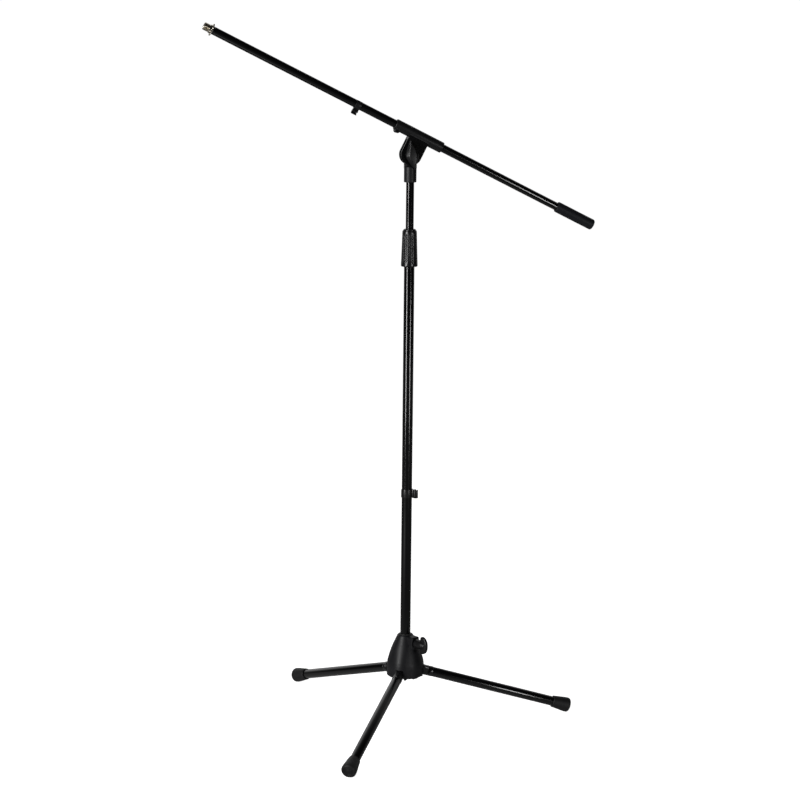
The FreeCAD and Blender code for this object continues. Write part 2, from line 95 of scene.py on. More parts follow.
def build(name, verts, faces, matrix=None):
    me = bpy.data.meshes.new(name)
    me.from_pydata([(x * MM, y * MM, z * MM) for x, y, z in verts], [], faces)
    me.validate()
    bm = bmesh.new()
    bm.from_mesh(me)
    bmesh.ops.remove_doubles(bm, verts=bm.verts, dist=1e-7)
    bmesh.ops.recalc_face_normals(bm, faces=bm.faces)
    bm.to_mesh(me)
    bm.free()
    ob = bpy.data.objects.new(name, me)
    bpy.context.scene.collection.objects.link(ob)
    if matrix is not None:
        me.transform(matrix)
    return ob


def smooth(ob, angle=38.0):
    me = ob.data
    me.polygons.foreach_set("use_smooth", [True] * len(me.polygons))
    me.set_sharp_from_angle(angle=math.radians(angle))
    me.update()
    return ob


def bake(ob):
    """Applies the object's modifiers to its mesh."""
    dg = bpy.context.evaluated_depsgraph_get()
    dg.update()
    me = bpy.data.meshes.new_from_object(ob.evaluated_get(dg))
    old = ob.data
    ob.modifiers.clear()
    ob.data = me
    bpy.data.meshes.remove(old)
    return ob


def bevelled(ob, width, segments=3, angle=40.0):
    m = ob.modifiers.new("bevel", "BEVEL")
    m.width = width * MM
    m.segments = segments
    m.limit_method = "ANGLE"
    m.angle_limit = math.radians(angle)
    m.use_clamp_overlap = True
    m.harden_normals = False
    return bake(ob)


def boolean(ob, other, operation="DIFFERENCE"):
    m = ob.modifiers.new("bool", "BOOLEAN")
    m.object = other
    m.operation = operation
    m.solver = "EXACT"
    bake(ob)
    me = other.data
    bpy.data.objects.remove(other)
    bpy.data.meshes.remove(me)
    return ob


def sealed(ob):
    """Closes the hairline openings that cutting can leave, and turns every face outward."""
    bm = bmesh.new()
    bm.from_mesh(ob.data)
    bmesh.ops.remove_doubles(bm, verts=bm.verts, dist=2e-6)
    bmesh.ops.dissolve_degenerate(bm, edges=bm.edges, dist=1e-6)
    bmesh.ops.holes_fill(bm, edges=[e for e in bm.edges if e.is_boundary], sides=0)
    bmesh.ops.recalc_face_normals(bm, faces=bm.faces)
    bm.to_mesh(ob.data)
    bm.free()
    return ob


def joined(name, obs):
    bm = bmesh.new()
    for o in obs:
        bm.from_mesh(o.data)
        me = o.data
        bpy.data.objects.remove(o)
        bpy.data.meshes.remove(me)
    return new_object(name, bm)


def rounded(points, closed=True, default=0.0, steps=4):
    """Rounds the corners of a polyline of (a, b) or (a, b, radius)."""
    n = len(points)
    out = []
    for i, p in enumerate(points):
        r = p[2] if len(p) > 2 else default
        a = Vector(p[:2])
        if r <= 0 or (not closed and i in (0, n - 1)):
            out.append((a.x, a.y))
            continue
        q0, q1 = Vector(points[(i - 1) % n][:2]), Vector(points[(i + 1) % n][:2])
        d0, d1 = (q0 - a), (q1 - a)
        l0, l1 = d0.length, d1.length
        if l0 < 1e-6 or l1 < 1e-6:
            out.append((a.x, a.y))
            continue
        d0.normalize(); d1.normalize()
        half = math.acos(max(-1.0, min(1.0, d0.dot(d1)))) / 2
        if half < 0.05 or half > math.pi / 2 - 0.03:
            out.append((a.x, a.y))
            continue
        t = min(r / math.tan(half), 0.46 * l0, 0.46 * l1)
        rr = t * math.tan(half)
        bis = (d0 + d1).normalized()
        c = a + bis * (rr / math.sin(half))
        s, e = a + d0 * t, a + d1 * t
        a0 = math.atan2(s.y - c.y, s.x - c.x)
        a1 = math.atan2(e.y - c.y, e.x - c.x)
        d = (a1 - a0 + math.pi) % TAU - math.pi
        for k in range(steps + 1):
            w = a0 + d * k / steps
            out.append((c.x + rr * math.cos(w), c.y + rr * math.sin(w)))
    return out


def lathe(name, prof, n=96, matrix=None, shape=None, closed=True):
    """Turns a closed (radius, height) outline about local Z. shape(theta, r, z) may change the radius."""
    verts, rings = [], []
    for r, z in prof:
        if r < 1e-6:
            rings.append([len(verts)] * n)
            verts.append((0, 0, z))
        else:
            ring = []
            for k in range(n):
                th = TAU * k / n
                rr = shape(th, r, z) if shape else r
                ring.append(len(verts))
                verts.append((rr * math.cos(th), rr * math.sin(th), z))
            rings.append(ring)
    faces = []
    m = len(rings)
    for i in range(m if closed else m - 1):
        a, b = rings[i], rings[(i + 1) % m]
        for k in range(n):
            q = [a[k], a[(k + 1) % n], b[(k + 1) % n], b[k]]
            u = []
            for v in q:
                if v not in u:
                    u.append(v)
            if len(u) >= 3:
                faces.append(u)
    return build(name, verts, faces, matrix)


def tube(name, z0, z1, ro, ri, matrix=None, n=96, edge=0.35, rows=1):
    """An open tube along local Z with eased rims."""
    prof = rounded([(ri, z0, edge * 0.6), (ro, z0, edge), (ro, z1, edge), (ri, z1, edge * 0.6)], True, 0, 4)
    return lathe(name, prof, n, matrix)


def prism(name, outline, y0, y1, matrix=None, holes=()):
    """Extrudes an (x, z) outline from y0 to y1."""
    n = len(outline)
    verts = [(x, y0, z) for x, z in outline] + [(x, y1, z) for x, z in outline]
    faces = [list(range(n)), list(range(2 * n - 1, n - 1, -1))]
    faces += [[i, (i + 1) % n, n + (i + 1) % n, n + i] for i in range(n)]
    return build(name, verts, faces, matrix)


def loft(name, rings, matrix=None):
    """Joins rings of equal length and caps both ends."""
    n = len(rings[0])
    verts = [p for r in rings for p in r]
    faces = []
    for i in range(len(rings) - 1):
        for k in range(n):
            faces.append([i * n + k, i * n + (k + 1) % n, (i + 1) * n + (k + 1) % n, (i + 1) * n + k])
    for i, rev in ((0, True), (len(rings) - 1, False)):
        c = [sum(rings[i][k][a] for k in range(n)) / n for a in range(3)]
        verts.append(tuple(c))
        ci = len(verts) - 1
        for k in range(n):
            faces.append([i * n + k, i * n + (k + 1) % n, ci])
    return build(name, verts, faces, matrix)


def squircle(x, hw, hh, e, n=96, yc=0.0, zc=0.0):
    """A ring in the YZ plane at x: an ellipse at e = 2, nearly a box at e = 8."""
    out = []
    for k in range(n):
        t = TAU * k / n
        c, s = math.cos(t), math.sin(t)
        out.append((x, yc + hw * math.copysign(abs(c) ** (2.0 / e), c), zc + hh * math.copysign(abs(s) ** (2.0 / e), s)))
    return out


def mix(a, b, t):
    t = max(0.0, min(1.0, t))
    return a + (b - a) * t


def ease(t):
    t = max(0.0, min(1.0, t))
    return t * t * (3 - 2 * t)


# ------------------------------------------------------------------------------------------------ materials


def material(name, base, rough, bumps=(), base2=None, colour_scale=220.0, rough_var=0.05, rough_scale=300.0, metallic=0.0,
             specular=0.5, coat=0.0, coat_rough=0.1, stretch=None, aniso=0.0, colour_detail=4.0):
    """A procedural material: two colours mixed by noise, roughness varied by another noise, and a stack of bumps.
    bumps are (kind, scale, distance in mm, strength). Scales are per metre."""
    m = bpy.data.materials.new(name)
    m.use_nodes = True
    nt = m.node_tree
    nt.nodes.clear()
    N, L = nt.nodes.new, nt.links.new
    out = N("ShaderNodeOutputMaterial")
    bs = N("ShaderNodeBsdfPrincipled")
    L(bs.outputs["BSDF"], out.inputs["Surface"])
    tc = N("ShaderNodeTexCoord")
    src = tc.outputs["Object"]
    if stretch:
        mp = N("ShaderNodeMapping")
        mp.inputs["Scale"].default_value = stretch
        L(src, mp.inputs["Vector"])
        src = mp.outputs["Vector"]
    base2 = base2 or tuple(min(1.0, c * 1.35 + 0.002) for c in base)
    cn = N("ShaderNodeTexNoise")
    cn.inputs["Scale"].default_value = colour_scale
    cn.inputs["Detail"].default_value = colour_detail
    L(src, cn.inputs["Vector"])
    cr = N("ShaderNodeValToRGB")
    cr.color_ramp.elements[0].position, cr.color_ramp.elements[1].position = 0.32, 0.72
    cr.color_ramp.elements[0].color = (*base, 1)
    cr.color_ramp.elements[1].color = (*base2, 1)
    L(cn.outputs["Fac"], cr.inputs["Fac"])
    L(cr.outputs["Color"], bs.inputs["Base Color"])
    rn = N("ShaderNodeTexNoise")
    rn.inputs["Scale"].default_value = rough_scale
    rn.inputs["Detail"].default_value = 3.0
    L(src, rn.inputs["Vector"])
    mr = N("ShaderNodeMapRange")
    mr.inputs["From Min"].default_value, mr.inputs["From Max"].default_value = 0.3, 0.7
    mr.inputs["To Min"].default_value, mr.inputs["To Max"].default_value = rough - rough_var, rough + rough_var
    L(rn.outputs["Fac"], mr.inputs["Value"])
    L(mr.outputs["Result"], bs.inputs["Roughness"])
    bs.inputs["Metallic"].default_value = metallic
    bs.inputs["Specular IOR Level"].default_value = specular
    if coat:
        bs.inputs["Coat Weight"].default_value = coat
        bs.inputs["Coat Roughness"].default_value = coat_rough
    if aniso:
        bs.inputs["Anisotropic"].default_value = aniso
    last = None
    for kind, scale, dist, strength in bumps:
        if kind == "noise":
            t = N("ShaderNodeTexNoise")
            t.inputs["Scale"].default_value = scale
            t.inputs["Detail"].default_value = 3.0
            h = t.outputs["Fac"]
        elif kind == "cells":
            t = N("ShaderNodeTexVoronoi")
            t.inputs["Scale"].default_value = scale
            h = t.outputs["Distance"]
        else:
            t = N("ShaderNodeTexWave")
            t.wave_type = "BANDS"
            t.bands_direction = kind
            t.inputs["Scale"].default_value = scale
            t.inputs["Distortion"].default_value = 0.4
            t.inputs["Detail"].default_value = 2.0
            h = t.outputs["Fac"]
        L(src, t.inputs["Vector"])
        b = N("ShaderNodeBump")
        b.inputs["Distance"].default_value = dist * MM
        b.inputs["Strength"].default_value = strength
        L(h, b.inputs["Height"])
        if last:
            L(last, b.inputs["Normal"])
        last = b.outputs["Normal"]
    if last:
        L(last, bs.inputs["Normal"])
    return m


MAT = {
    "tube_paint": material("tube_paint", (0.0014, 0.0014, 0.0016), 0.15, [("noise", 120, 0.0012, 0.4), ("noise", 900, 0.0001, 0.3)],
                           base2=(0.0030, 0.0030, 0.0034), rough_var=0.015, rough_scale=120, colour_scale=350),
    "base_plastic": material("base_plastic", (0.0045, 0.0045, 0.0058), 0.46, [("noise", 900, 0.012, 0.45), ("cells", 2600, 0.006, 0.3)],
                             base2=(0.0080, 0.0080, 0.0098), rough_var=0.04, rough_scale=500, specular=0.34),
    "clutch_plastic": material("clutch_plastic", (0.0040, 0.0040, 0.0047), 0.27, [("noise", 400, 0.006, 0.4), ("noise", 2600, 0.0015, 0.3)],
                               base2=(0.0080, 0.0080, 0.0088), rough_var=0.03),
    "joint_plastic": material("joint_plastic", (0.0055, 0.0055, 0.0060), 0.38, [("noise", 700, 0.03, 0.5), ("cells", 2600, 0.02, 0.4)],
                              base2=(0.0110, 0.0110, 0.0118), rough_var=0.06, colour_scale=420, specular=0.3),
    # The holder's flat sides: smoother than joint_plastic, and a darker base colour that is painted shade for the dark
    # room these faces reflect.
    "web_plastic_painted_shade": material("web_plastic_painted_shade", (0.0016, 0.0016, 0.0019), 0.17, [("noise", 700, 0.004, 0.4), ("cells", 2600, 0.002, 0.3)],
                            base2=(0.0030, 0.0030, 0.0034), rough_var=0.03, specular=0.3),
    "knob_plastic": material("knob_plastic", (0.0048, 0.0048, 0.0054), 0.34, [("noise", 700, 0.010, 0.4), ("cells", 2800, 0.004, 0.25)],
                             base2=(0.0085, 0.0085, 0.0092), rough_var=0.05, specular=0.4),
    "foot_rubber": material("foot_rubber", (0.0060, 0.0060, 0.0066), 0.55, [("noise", 1300, 0.06, 0.6), ("noise", 5200, 0.02, 0.5)],
                            base2=(0.0120, 0.0120, 0.0128), rough_var=0.08, colour_scale=160, specular=0.35),
    "grip_rubber": material("grip_rubber", (0.0065, 0.0072, 0.0095), 0.55, [("cells", 1500, 0.09, 0.7), ("noise", 4200, 0.03, 0.5)],
                            base2=(0.0105, 0.0115, 0.0150), rough_var=0.06, specular=0.25),
    "nylon": material("nylon", (0.020, 0.020, 0.020), 0.5, [("noise", 2500, 0.01, 0.4)], rough_var=0.05),
    "zinc_steel": material("zinc_steel", (0.42, 0.42, 0.43), 0.34, [("Z", 900, 0.004, 0.35), ("noise", 4000, 0.003, 0.3)],
                           base2=(0.55, 0.54, 0.53), metallic=1.0, rough_var=0.08),
    "plated_thread": material("plated_thread", (0.72, 0.66, 0.54), 0.20, [("noise", 1600, 0.003, 0.3), ("noise", 6000, 0.001, 0.25)],
                              base2=(0.82, 0.79, 0.73), metallic=1.0, rough_var=0.06, colour_scale=500),
    "brass_part": material("brass_part", (0.60, 0.42, 0.18), 0.3, [("noise", 3500, 0.004, 0.3)], base2=(0.68, 0.5, 0.25), metallic=1.0),
}
NODE_SLOT = {s["node"]: s["material_slot"] for s in frame["record"]["subparts"]}
NODE_BODY = {n: b for b, ns in frame["record"]["behaviour"]["bodies"].items() for n in ns}


def dress(ob, node, *more, slot=None, angle=38.0):
    """Gives a finished piece its material and ties it to the frame in place of its CAD node."""
    s = slot or NODE_SLOT[node]
    if node in FIXED:
        ob.data.transform(Matrix.Translation((0, 0, -DROP * MM)))
    ob.data.materials.clear()
    ob.data.materials.append(MAT[s])
    smooth(ob, angle)
    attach(ob, NODE_BODY[node])
    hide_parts(node, *more)
    return ob


# ------------------------------------------------------------------------------------------------ tubes
lo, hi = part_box("lower_tube")
dress(tube("mast_lower_tube", lo.z / MM, hi.z / MM, 10.5, 9.3, n=128), "lower_tube")
lo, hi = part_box("upper_tube")
dress(tube("mast_upper_tube", lo.z / MM, hi.z / MM, 8.0, 6.8, n=128), "upper_tube")


def along_boom(node):
    """The first and last distance of a node along the boom, from the holder's middle, in mm."""
    ob = frame["nodes"][node]
    d = [(v.co - BOOM_O).dot(BOOM_U) for v in ob.data.vertices]
    return min(d) / MM, max(d) / MM


s0, s1 = along_boom("boom_tube")
dress(tube("boom_pipe", s0, s1, 8.0, 6.8, M_AXIS, n=128), "boom_tube")

# ------------------------------------------------------------------------------------------------ legs
SLOPE = math.radians(17.06)
PIN = {k: Vector(J["leg_%s_fold" % k]["pos_m"]) for k in "abc"}
TUBE_S = 28.0 / math.cos(SLOPE)
END_S = (355.4 - 30.0) / math.cos(SLOPE)
for k in "abc":
    p = PIN[k]
    out = Vector((p.x, p.y, 0)).normalized()
    d = out * math.cos(SLOPE) - UP * math.sin(SLOPE)
    up = UP * math.cos(SLOPE) + out * math.sin(SLOPE)
    M = basis(p, d, up)                       # local +X along the leg
    MZ = basis(p, up.cross(d) * -1, d)        # local +Z along the leg
    # hinge block: a rounded box that swells into a round collar
    rings = []
    for i in range(13):                       # the knuckle round the pin
        a = math.radians(90 * i / 12.0)
        x = -7.5 * math.cos(a)
        rings.append(squircle(x, 7.35 - 0.9 * (1 - math.sin(a)) ** 3, max(0.6, 7.5 * math.sin(a)), 7.0))
    for x in (1.5, 3.5, 5.5, 6.9, 7.3, 7.7, 8.1, 9.0, 9.8, 10.3, 10.8, 11.3, 12.6, 15.0, 17.5, 19.2):
        top = mix(7.5, 10.0, ease((x - 6.9) / 1.3))
        bot = mix(-7.5, -10.0, ease((x - 9.6) / 1.8))
        rings.append(squircle(x, 7.42, (top - bot) / 2, mix(7.0, 4.2, ease((x - 8.0) / 6.0)), zc=(top + bot) / 2))
    for x, w_, h_, e in ((19.7, 7.9, 10.0, 3.4), (20.2, 8.9, 10.1, 2.8), (20.7, 9.8, 10.25, 2.3), (21.3, 10.35, 10.4, 2.05), (22.2, 10.5, 10.5, 2),
                         (28.2, 10.5, 10.5, 2), (28.8, 10.4, 10.4, 2), (29.15, 10.15, 10.15, 2), (29.28, 9.8, 9.8, 2)):
        rings.append(squircle(x, w_, h_, e))
    block = loft("leg_block_" + k, rings, M)
    bore = lathe("bore", rounded([(0, -12), (2.55, -12), (2.55, 12), (0, 12)], True), 48, M @ Matrix.Rotation(math.pi / 2, 4, "X"))
    boolean(block, bore)
    plug = lathe("plug", rounded([(0, TUBE_S - 1.0), (8.78, TUBE_S - 1.0), (8.78, TUBE_S + 31, 1.5), (0, TUBE_S + 31)], True), 64, MZ)
    block = joined("leg_block_" + k, [block, plug])
    dress(block, "leg_fitting_" + k, angle=50)
    dress(tube("leg_pipe_" + k, TUBE_S + 0.05, END_S - 14.0, 10.0, 8.8, MZ, n=96), "leg_tube_" + k)
    # tip-shaped rubber foot: a lip, a cone that widens outward with faint moulded rings, and a blunt end with round grooves
    f0 = END_S - 38.2
    prof = [(10.0, f0 + 0.2), (11.4, f0, 0.5), (12.1, f0 + 0.8, 0.5), (12.25, f0 + 2.2, 0.4), (11.85, f0 + 2.9, 0.3), (12.25, f0 + 3.7, 0.5)]
    cone = [(3.7, 12.3), (8.0, 12.9), (16.0, 13.8), (24.0, 14.8), (30.0, 15.25)]
    for i in range(1, 66):
        a = 3.7 + 26.3 * i / 66.0
        j = max(q for q in range(len(cone) - 1) if cone[q][0] <= a)
        (a0, r0), (a1, r1) = cone[j], cone[j + 1]
        groove = 0.14 * max(0.0, math.cos(TAU * (a - 8.0) / 5.5)) ** 10 * ease((a - 5.0) / 3.0)
        prof.append((mix(r0, r1, (a - a0) / (a1 - a0)) - groove, f0 + a))
    prof += [(15.3, f0 + 30.5), (15.3, f0 + 34.4, 2.4), (14.3, f0 + 36.5, 2.0), (12.7, END_S - 0.3, 1.2), (11.2, END_S, 0.3)]
    for r in (9.4, 7.0, 4.6):
        prof += [(r + 0.75, END_S, 0.2), (r + 0.35, END_S - 0.7, 0.2), (r - 0.35, END_S - 0.7, 0.2), (r - 0.75, END_S, 0.2)]
    prof += [(0, END_S)]
    prof += [(0, END_S - 14.0), (10.0, END_S - 14.0)]
    foot = lathe("rubber_foot_" + k, rounded(prof, True, 0.0, 4), 144, MZ)
    for v in foot.data.vertices:              # its underside is flat on the floor
        if v.co.z < 0:
            v.co.z = 0.0
    dress(foot, "foot_" + k, angle=60)

# ------------------------------------------------------------------------------------------------ base housing
BZ = 105.0
PROFILE = [(35.4, 105.0, 0.9), (37.3, 106.2, 0.8), (37.9, 108.6, 1.0), (37.9, 112.6, 0.5), (37.55, 113.2, 0.4), (37.7, 125.0, 6), (37.3, 131.0, 8), (36.3, 137.7, 12),
           (34.5, 144.0, 12), (32.7, 150.6, 12), (30.7, 157.0, 12), (28.4, 163.5, 12), (25.9, 170.0, 12), (23.0, 176.0, 12), (19.9, 183.0, 12), (16.6, 190.2, 1.2), (14.4, 192.5, 0.8)]
outer_pts = rounded([(13.3, 190.5)] + [(13.3, 192.5, 0.4)] + [PROFILE[-1]] + PROFILE[-2::-1] + [(31.4, 105.0, 0.5)], False, 0, 5)
inner_pts = [(33.4, 108.0), (34.3, 125.0), (33.8, 131.0), (32.8, 137.7), (31.0, 144.0), (29.2, 150.6), (27.2, 157.0), (24.9, 163.5), (22.3, 170.0), (19.2, 176.0), (15.9, 183.0), (15.4, 184.0), (15.4, 112.0), (12.45, 112.0), (12.45, 190.5)]
OUTER_SET = {(round(r, 4), round(z, 4)) for r, z in outer_pts}


def lobed(th, r, z):
    """The housing swells a little over each leg."""
    if (round(r, 4), round(z, 4)) not in OUTER_SET or r < 25:
        return r
    c = max(0.0, math.cos(3 * th)) ** 1.5
    return r + 1.7 * c * ease((z - 104.0) / 8.0) * (1 - ease((z - 142.0) / 24.0))


house = lathe("base_shell", outer_pts + inner_pts, 192, shape=lobed)
KN = spin(-60)
boss_out = rounded([(-10.2, 164.5, 3.2), (10.2, 164.5, 3.2), (10.2, 191.2, 3.0), (-10.2, 191.2, 3.0)], True, 0, 5)
b = [(14.0, y, z) for y, z in boss_out], [(30.0, y, z) for y, z in boss_out], [(31.0, y * 0.94, 177.9 + (z - 177.9) * 0.94) for y, z in boss_out]
boss = loft("boss", list(b), KN)
boolean(house, boss, "UNION")
for a in (60, 180, 300):
    rib = prism("rib", [(14.5, 116.0), (25.0, 116.0), (22.0, 165.0), (14.5, 178.0)], -1.6, 1.6, spin(a))
    boolean(house, rib, "UNION")
for a in (0, 120, 240):
    for s in (1, -1):
        y0, y1 = sorted((s * 8.5, s * 12.9))
        cheek = prism("cheek", [(22.0, 105.4), (35.2, 105.4), (35.2, 126.6), (22.0, 126.6)], y0, y1, spin(a))
        boolean(house, cheek, "UNION")
for a in (0, 120, 240):
    o = rounded([(-8.55, 100.0), (8.55, 100.0), (8.55, 124.4, 4.5), (-8.55, 124.4, 4.5)], True, 0, 6)
    cut = loft("slot", [[(20.5, y, z) for y, z in o], [(46.0, y, z) for y, z in o]], spin(a))
    boolean(house, cut)
boolean(house, lathe("bore", rounded([(0, -31), (12.42, -31), (12.42, 120), (0, 120)], True), 96, Matrix.Translation((0, 0, 0.1))))
boolean(house, lathe("pad_bore", [(0, 8), (5.3, 8), (5.3, 17.2), (4.4, 17.2), (4.4, 40), (0, 40)], 48,
                     KN @ Matrix.Translation((0, 0, 178.8 * MM)) @ Matrix.Rotation(math.pi / 2, 4, "Y")))
bevelled(house, 0.55, 3, 35)
dress(house, "base_body", angle=32)

ret = lathe("retainer", [(15.7, 102.6), (20.2, 102.6), (20.2, 104.9), (15.7, 104.9)], 96)
for a in (60, 180, 300):
    arm = prism("arm", [(17.5, 102.6), (32.4, 102.6), (32.4, 104.85), (17.5, 104.85)], -6.2, 6.2, spin(a))
    boolean(ret, arm, "UNION")
for a in (0, 120, 240):
    for s in (1, -1):
        y0, y1 = sorted((s * 8.75, s * 12.6))
        lug = prism("lug", [(16.2, 102.6), (34.6, 102.6), (34.9, 103.2), (34.9, 104.8), (16.2, 104.8)], y0, y1, spin(a))
        boolean(ret, lug, "UNION")
for a in (60, 180, 300):
    sink = lathe("sink", [(0, 102.0), (3.7, 102.0), (1.75, 104.2), (1.75, 106.0), (0, 106.0)], 48, spin(a) @ Matrix.Translation((26.5 * MM, 0, 0)))
    boolean(ret, sink)
bevelled(ret, 0.35, 2, 40)
dress(ret, "hinge_retainer", angle=32)
dress(lathe("base_bushing", rounded([(10.56, 122.0), (12.4, 122.0), (12.4, 190.6), (13.25, 190.6), (13.25, 193.4, 0.8), (10.56, 193.4, 0.5)], True, 0, 4), 96), "base_sleeve")

# base knob: hub and two wings on one side of the housing
KZ = 178.8
hub = lathe("knob_hub", rounded([(0, 32.4), (8.0, 32.4, 0.8), (9.6, 35.6, 1.2), (9.2, 44.0, 4), (8.4, 53.0, 3), (6.4, 60.8, 2), (3.8, 62.4, 1.0), (0, 62.7)], True, 0, 5), 96,
            KN @ Matrix.Translation((0, 0, KZ * MM)) @ Matrix.Rotation(math.pi / 2, 4, "Y"))
rings = []
W = 18.2
for i in range(41):
    t = -1 + 2 * i / 40.0
    z = W * math.sin(t * math.pi / 2)
    q = abs(z) / W
    x_out = 66.0 - 10.4 * q ** 3.17
    x_in = 46.0 + 2.6 * q ** 1.5
    tip = math.sqrt(max(0.0, 1 - q ** 24))
    hx, hy = max(0.15, (x_out - x_in) / 2 * tip), max(0.12, mix(4.3, 3.2, q) * tip)
    rings.append([(((x_out + x_in) / 2) + a, b2, KZ + z) for (_, a, b2) in squircle(0, hx, hy, 3.6, 72)])
wings = loft("knob_wings", rings, KN)
knob = boolean(hub, wings, "UNION")
bevelled(knob, 0.5, 3, 30)
dress(knob, "base_knob", angle=40)

# ------------------------------------------------------------------------------------------------ clutch
FL = 16


def flute(th, r, z):
    if r < 13.65:
        return r
    t = ease((z - 960.5) / 4.0) * ease((1022.5 - z) / 4.0)
    w = 0.5 + 0.5 * math.cos(FL * th)
    return r - 0.62 * t * (1 - w) ** 1.5


body = [(13.35, 1026.6), (13.6, 1026.6, 0.2), (14.4, 1025.2, 0.9)]
GRIP_R = [(962.0, 16.7), (985.0, 15.9), (1010.0, 15.1), (1022.0, 14.72), (1025.2, 14.4)]
z = 1022.6
while z > 963.0:
    i = max(q for q in range(len(GRIP_R) - 1) if GRIP_R[q][0] <= z)
    (z0, ra), (z1, rb) = GRIP_R[i], GRIP_R[i + 1]
    body.append((mix(ra, rb, (z - z0) / (z1 - z0)), z))
    z -= 2.4
body += [(16.7, 962.0), (16.7, 960.0), (16.7, 956.6, 0.9), (16.0, 954.7, 0.6), (10.95, 954.7, 0.3), (10.95, 958.0), (13.35, 958.0)]
dress(lathe("clutch_sleeve", rounded(body, True, 0, 4), 320, shape=flute), "clutch_grip", angle=50)
coll = [(10.52, 958.6), (13.0, 958.6), (13.0, 1015.0), (12.5, 1020.0), (12.5, 1028.2, 1.0), (11.4, 1029.4, 0.4), (8.06, 1029.4, 0.3), (8.06, 1000.0), (10.52, 1000.0)]
collet = lathe("collet_ring", rounded(coll, True, 0, 4), 128)
dress(collet, "clutch_collet", angle=40)

# ------------------------------------------------------------------------------------------------ cable clips


def arc_pts(cx, cy, r, a0, a1, n):
    return [(cx + r * math.cos(math.radians(a0 + (a1 - a0) * i / n)), cy + r * math.sin(math.radians(a0 + (a1 - a0) * i / n))) for i in range(n + 1)]


def clip_mesh(name, tube_r, ring_r, reach, width, matrix):
    """A snap-on clip: an open ring round the tube and an open hook, one moulded outline, extruded with soft rims."""
    c = reach - 5.2
    ri, hi_, ho = tube_r + 0.06, 3.5, 5.2
    w = 2.2
    a1 = math.degrees(math.asin(w / ring_r))
    b1 = math.degrees(math.asin(w / ho))
    out = arc_pts(0, 0, ring_r, a1, 138, 28)                       # outside of the ring, upper side
    m1 = (ri + ring_r) / 2
    t1 = (ring_r - ri) / 2
    out += arc_pts(m1 * math.cos(math.radians(139.5)), m1 * math.sin(math.radians(139.5)), t1 * 1.15, 139.5, 139.5 + 180, 6)
    out += arc_pts(0, 0, ri, 138, -138, 60)                        # inside of the ring
    out += arc_pts(m1 * math.cos(math.radians(-139.5)), m1 * math.sin(math.radians(-139.5)), t1 * 1.15, 180 - 139.5, 180 - 139.5 + 180, 6)
    out += arc_pts(0, 0, ring_r, -138, -a1, 28)
    # hook: starts on its lower side and goes round to its open mouth
    out += arc_pts(c, 0, ho, -180 + b1, 18, 34)
    m2 = (hi_ + ho) / 2
    t2 = (ho - hi_) / 2
    out += arc_pts(c + m2 * math.cos(math.radians(19)), m2 * math.sin(math.radians(19)), t2, 19, 19 + 180, 6)
    out += arc_pts(c, 0, hi_, 18, -255, 48)
    out += arc_pts(c + m2 * math.cos(math.radians(-256)), m2 * math.sin(math.radians(-256)), t2, -256 + 180, -256 + 360, 6)
    out += arc_pts(c, 0, ho, 105, 180 - b1, 12)
    ded = []
    for q in out:
        if not ded or (abs(q[0] - ded[-1][0]) + abs(q[1] - ded[-1][1])) > 0.02:
            ded.append(q)
    n = len(ded)
    h = width / 2
    verts = [(x, y, -h) for x, y in ded] + [(x, y, h) for x, y in ded]
    faces = [list(range(n))[::-1], list(range(n, 2 * n))] + [[i, (i + 1) % n, n + (i + 1) % n, n + i] for i in range(n)]
    ob = build(name, verts, faces, matrix)
    return bevelled(ob, 0.35, 3, 60)


lo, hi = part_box("mast_cable_clip")
zc = (lo.z + hi.z) / 2
dress(clip_mesh("mast_clip", 10.5, 12.2, 24.2, 17.0, Matrix.Translation((0, 0, zc)) @ spin(-35)), "mast_cable_clip", angle=40)
c0, c1 = along_boom("boom_cable_clip")
Mc = basis(BOOM_O + BOOM_U * ((c0 + c1) / 2 * MM), -BOOM_N, BOOM_U)
dress(clip_mesh("boom_clip_piece", 8.0, 10.0, 20.7, 11.5, Mc), "boom_cable_clip", angle=40)

# ------------------------------------------------------------------------------------------------ swivel head
sock = lathe("head_socket", rounded([(0, 1126.0), (8.02, 1126.0), (8.02, 1122.6), (11.9, 1122.6, 0.7), (12.5, 1123.6, 0.6), (12.5, 1152.4, 0.9), (11.7, 1153.6, 0.4), (0, 1153.6)], True, 0, 4), 128)
arc = arc_pts(0, 1177.3, 12.1, 0, 180, 32)
ton = prism("tongue", [(12.1, 1150.0)] + arc + [(-12.1, 1150.0)], -4.98, 4.98)
boolean(sock, ton, "UNION")
boolean(sock, lathe("bore", [(0, 1100), (8.03, 1100), (8.03, 1146), (0, 1146)], 96))
boolean(sock, lathe("bore2", [(0, -20), (4.06, -20), (4.06, 20), (0, 20)], 64, Matrix.Translation((0, 0, 1177.3 * MM)) @ Matrix.Rotation(math.pi / 2, 4, "X")))
bevelled(sock, 0.6, 3, 40)
sealed(sock)
dress(sock, "boom_socket", angle=36)

# ------------------------------------------------------------------------------------------------ boom holder: two half shells
def smooth_web_and_painted_shade(ob):
    """The flat sides of the holder, off the barrel, are moulded smoother than the rest, and their darker base colour is
    painted shade standing in for the dark room these faces reflect.
    """
    across = BOOM_N.cross(BOOM_U)
    ob.data.materials.append(MAT["web_plastic_painted_shade"])
    for f in ob.data.polygons:
        q = f.center - BOOM_O
        if abs(f.normal.dot(across)) > 0.97 and -q.dot(BOOM_N) > 11.2 * MM and abs(q.dot(BOOM_U)) < 21.5 * MM:
            f.material_index = 1


